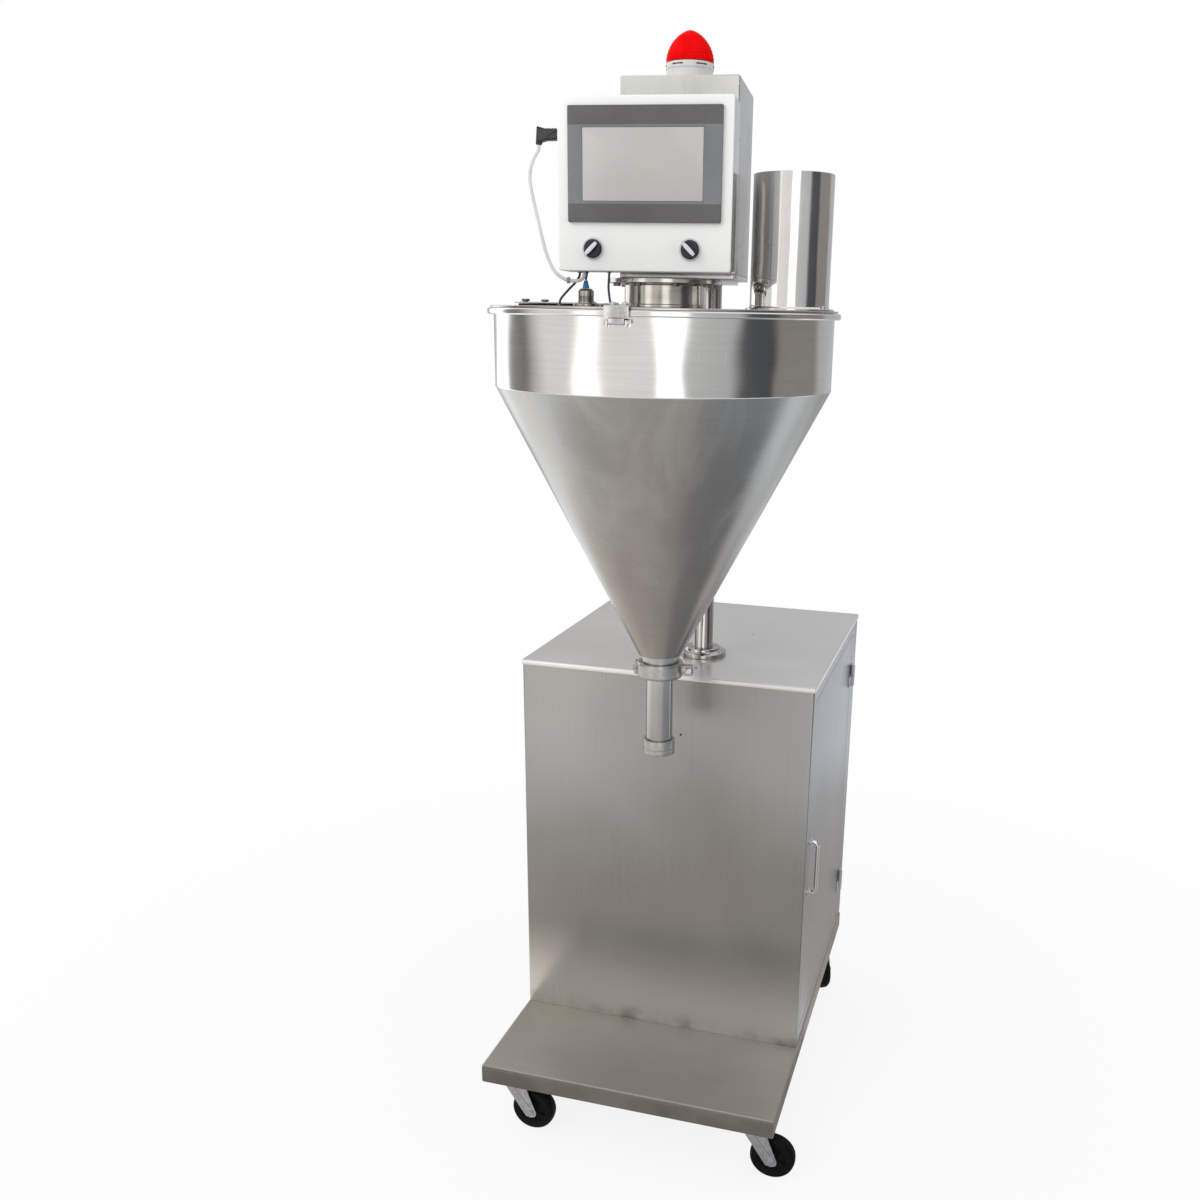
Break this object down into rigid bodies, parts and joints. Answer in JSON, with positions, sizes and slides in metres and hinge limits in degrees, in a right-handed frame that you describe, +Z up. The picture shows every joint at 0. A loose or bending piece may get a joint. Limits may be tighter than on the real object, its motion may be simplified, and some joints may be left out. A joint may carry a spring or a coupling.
{
  "type": "auger powder filler",
  "caption": "Semi-automatic auger filler: wheeled steel cabinet with a filling platform, column, drive head with touch panel and beacon, and a lidded conical hopper over a screw tube.",
  "frame": {"origin": "on the floor, under the centre of the machine's overall box", "axes": "+Z up, the front with the platform, nozzle and touch panel faces -Y, the cabinet door opens towards +X"},
  "size_m": [0.5304, 0.9204, 1.7095],
  "materials": {
    "brushed_stainless": "brushed stainless sheet",
    "satin_stainless": "satin stainless steel",
    "polished_stainless": "polished stainless tube",
    "zinc_plated_steel": "bright zinc plating",
    "aluminium": "machined aluminium",
    "machined_steel": "machined steel",
    "pale_panel": "pale satin panel",
    "bezel_grey": "dark grey moulded bezel",
    "screen_grey": "unlit touch screen film",
    "motor_black": "black painted motor body",
    "black_plastic": "black moulded plastic",
    "wheel_black": "black rubber",
    "gasket_black": "black gasket rubber",
    "knob_plastic": "near-black knob with a bright bar",
    "blue_plastic": "blue moulded boot",
    "red_lens": "translucent red lens",
    "pale_plastic": "off-white plastic",
    "white_cable": "white cable sheath",
    "dark_cable": "dark cable sheath"
  },
  "bodies": {
    "machine": {"base_tray": "brushed_stainless", "cabinet_shell": "brushed_stainless", "cabinet_top": "brushed_stainless", "back_panel": "brushed_stainless", "mounting_plate": "zinc_plated_steel", "servo_drive": "black_plastic", "column": "polished_stainless", "column_collar": "polished_stainless", "column_clamp": "aluminium", "head_plate": "brushed_stainless", "bearing_housing": "brushed_stainless", "hopper": "satin_stainless", "hopper_lid": "brushed_stainless", "hatch_gasket": "gasket_black", "feed_inlet_tube": "polished_stainless", "level_sensor": "satin_stainless", "sensor_boot": "blue_plastic", "tube_clamp_front": "satin_stainless", "tube_clamp_rear": "satin_stainless", "auger_tube": "polished_stainless", "tube_end_collar": "satin_stainless", "head_housing": "brushed_stainless", "motor_mount": "aluminium", "auger_motor": "motor_black", "agitator_motor": "zinc_plated_steel", "hmi_box": "pale_panel", "hmi_bezel": "bezel_grey", "hmi_screen": "screen_grey", "beacon_base": "pale_plastic", "beacon_lens": "red_lens", "cable_hood": "black_plastic", "hmi_cable": "white_cable", "sensor_cable": "dark_cable", "lid_cable_left": "dark_cable", "lid_cable_right": "dark_cable", "caster_plate_front_left": "zinc_plated_steel", "caster_plate_front_right": "zinc_plated_steel", "caster_plate_rear_left": "zinc_plated_steel", "caster_plate_rear_right": "zinc_plated_steel"},
    "caster_front_left": {"caster_fork_front_left": "zinc_plated_steel"},
    "wheel_front_left": {"caster_wheel_front_left": "wheel_black"},
    "caster_front_right": {"caster_fork_front_right": "zinc_plated_steel"},
    "wheel_front_right": {"caster_wheel_front_right": "wheel_black"},
    "caster_rear_left": {"caster_fork_rear_left": "zinc_plated_steel"},
    "wheel_rear_left": {"caster_wheel_rear_left": "wheel_black"},
    "caster_rear_right": {"caster_fork_rear_right": "zinc_plated_steel"},
    "wheel_rear_right": {"caster_wheel_rear_right": "wheel_black"},
    "door": {"cabinet_door": "brushed_stainless", "door_handle": "polished_stainless"},
    "auger": {"auger": "satin_stainless"},
    "agitator": {"agitator": "satin_stainless", "agitator_gear": "machined_steel"},
    "agitator_pinion": {"agitator_pinion": "machined_steel"},
    "hatch": {"hatch_cover": "brushed_stainless"},
    "selector_left": {"selector_knob_left": "knob_plastic"},
    "selector_right": {"selector_knob_right": "knob_plastic"},
    "latch_front": {"lid_latch_front": "satin_stainless"},
    "latch_right": {"lid_latch_right": "satin_stainless"},
    "latch_left": {"lid_latch_left": "satin_stainless"},
    "wing_nut": {"clamp_wing_nut": "machined_steel"}
  },
  "joints": [
    {"name": "caster_swivel_front_left", "type": "hinge", "parent": "machine", "child": "caster_front_left", "pos_m": [-0.22425, -0.22376, 0.09], "axis": [0, 0, 1], "continuous": true},
    {"name": "wheel_spin_front_left", "type": "hinge", "parent": "caster_front_left", "child": "wheel_front_left", "pos_m": [-0.19025, -0.22376, 0.0375], "axis": [0, 1, 0], "continuous": true},
    {"name": "caster_swivel_front_right", "type": "hinge", "parent": "machine", "child": "caster_front_right", "pos_m": [0.19375, -0.22376, 0.09], "axis": [0, 0, 1], "continuous": true},
    {"name": "wheel_spin_front_right", "type": "hinge", "parent": "caster_front_right", "child": "wheel_front_right", "pos_m": [0.22775, -0.22376, 0.0375], "axis": [0, 1, 0], "continuous": true},
    {"name": "caster_swivel_rear_left", "type": "hinge", "parent": "machine", "child": "caster_rear_left", "pos_m": [-0.22425, 0.39524, 0.09], "axis": [0, 0, 1], "continuous": true},
    {"name": "wheel_spin_rear_left", "type": "hinge", "parent": "caster_rear_left", "child": "wheel_rear_left", "pos_m": [-0.19025, 0.39524, 0.0375], "axis": [0, 1, 0], "continuous": true},
    {"name": "caster_swivel_rear_right", "type": "hinge", "parent": "machine", "child": "caster_rear_right", "pos_m": [0.19375, 0.39524, 0.09], "axis": [0, 0, 1], "continuous": true},
    {"name": "wheel_spin_rear_right", "type": "hinge", "parent": "caster_rear_right", "child": "wheel_rear_right", "pos_m": [0.20971, 0.36522, 0.0375], "axis": [0.8829, 0.4695, 0], "continuous": true},
    {"name": "door_hinge", "type": "hinge", "parent": "machine", "child": "door", "pos_m": [0.23735, 0.38299, 0.45], "axis": [0, 0, 1], "range_deg": [0, 110]},
    {"name": "auger_spin", "type": "hinge", "parent": "machine", "child": "auger", "pos_m": [0.02145, -0.21376, 1], "axis": [0, 0, 1], "continuous": true},
    {"name": "agitator_spin", "type": "hinge", "parent": "machine", "child": "agitator", "pos_m": [0.02145, -0.21376, 1.35], "axis": [0, 0, 1], "continuous": true},
    {"name": "agitator_pinion_spin", "type": "hinge", "parent": "machine", "child": "agitator_pinion", "pos_m": [0.01426, -0.14916, 1.4153], "axis": [0, 0, 1], "continuous": true},
    {"name": "hatch_hinge", "type": "hinge", "parent": "machine", "child": "hatch", "pos_m": [-0.09655, -0.13376, 1.3648], "axis": [0, 1, 0], "range_deg": [0, 110]},
    {"name": "selector_turn_left", "type": "hinge", "parent": "machine", "child": "selector_left", "pos_m": [-0.04174, -0.32675, 1.4313], "axis": [0.1106, -0.9939, 0], "range_deg": [0, 90]},
    {"name": "selector_turn_right", "type": "hinge", "parent": "machine", "child": "selector_right", "pos_m": [0.08289, -0.31288, 1.4313], "axis": [0.1106, -0.9939, 0], "range_deg": [-90, 0]},
    {"name": "latch_hinge_front", "type": "hinge", "parent": "machine", "child": "latch_front", "pos_m": [0.03417, -0.45643, 1.3425], "axis": [0.9986, 0.0523, 0], "range_deg": [0, 110]},
    {"name": "latch_hinge_right", "type": "hinge", "parent": "machine", "child": "latch_right", "pos_m": [0.22525, -0.08142, 1.3425], "axis": [-0.5446, 0.8387, 0], "range_deg": [0, 110]},
    {"name": "latch_hinge_left", "type": "hinge", "parent": "machine", "child": "latch_left", "pos_m": [-0.19506, -0.10344, 1.3425], "axis": [-0.454, -0.891, 0], "range_deg": [0, 110]},
    {"name": "wing_nut_turn", "type": "hinge", "parent": "machine", "child": "wing_nut", "pos_m": [0.06463, -0.1994, 0.846], "axis": [-0.1106, 0.9939, 0], "continuous": true}
  ],
  "couplings": [
    {"joint": "agitator_pinion_spin", "follows": "agitator_spin", "ratio": -2.0952}
  ]
}
